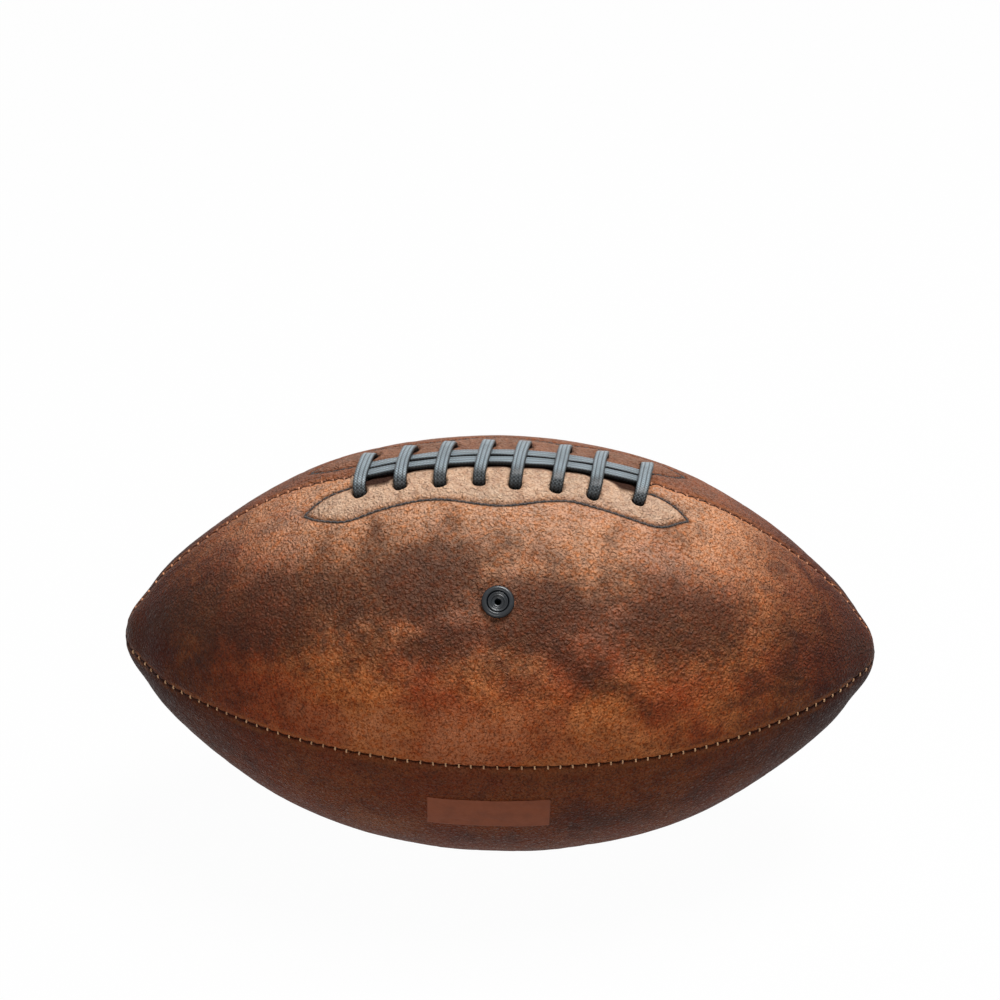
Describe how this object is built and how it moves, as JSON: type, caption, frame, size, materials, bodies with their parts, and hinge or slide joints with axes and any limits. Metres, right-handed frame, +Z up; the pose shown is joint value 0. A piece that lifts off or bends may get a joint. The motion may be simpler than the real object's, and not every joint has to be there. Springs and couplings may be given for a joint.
{
  "type": "american football",
  "caption": "Laced leather american football: four sewn panels with lining, bladder, needle valve, stitched lace facings and a flat woven lace.",
  "frame": {"origin": "on the floor under the middle of the ball, where the belly rests", "axes": "+X from tip to tip, to the viewer's right in the picture; +Z up through the lace; -Y towards the valve panel and the viewer"},
  "size_m": [0.2798, 0.1554, 0.1599],
  "materials": {
    "leather_front": "pebbled leather, worn and mottled",
    "leather_rear": "pebbled leather, darker",
    "leather_lower": "pebbled leather, worn",
    "lining": "woven cotton",
    "facing": "smooth split leather",
    "facing_thread": "black sewing thread",
    "seam_thread": "tan sewing thread",
    "lace": "flat woven cord",
    "tongue": "felt",
    "bladder": "matt rubber",
    "valve": "satin rubber",
    "valve_core": "soft satin rubber"
  },
  "bodies": {
    "root": {"valve_panel": "leather_front", "rear_lace_panel": "leather_rear", "lower_front_panel": "leather_lower", "lower_rear_panel": "leather_rear", "valve_panel_lining": "lining", "rear_lace_lining": "lining", "lower_front_lining": "lining", "lower_rear_lining": "lining", "front_lace_facing": "facing", "rear_lace_facing": "facing", "front_facing_stitching": "facing_thread", "rear_facing_stitching": "facing_thread", "lace_seam_stitching": "seam_thread", "front_seam_stitching": "seam_thread", "bottom_seam_stitching": "seam_thread", "rear_seam_stitching": "seam_thread", "lace": "lace", "tongue": "tongue", "bladder": "bladder", "valve_patch": "bladder", "valve_body": "valve", "valve_core": "valve_core"}
  },
  "joints": []
}
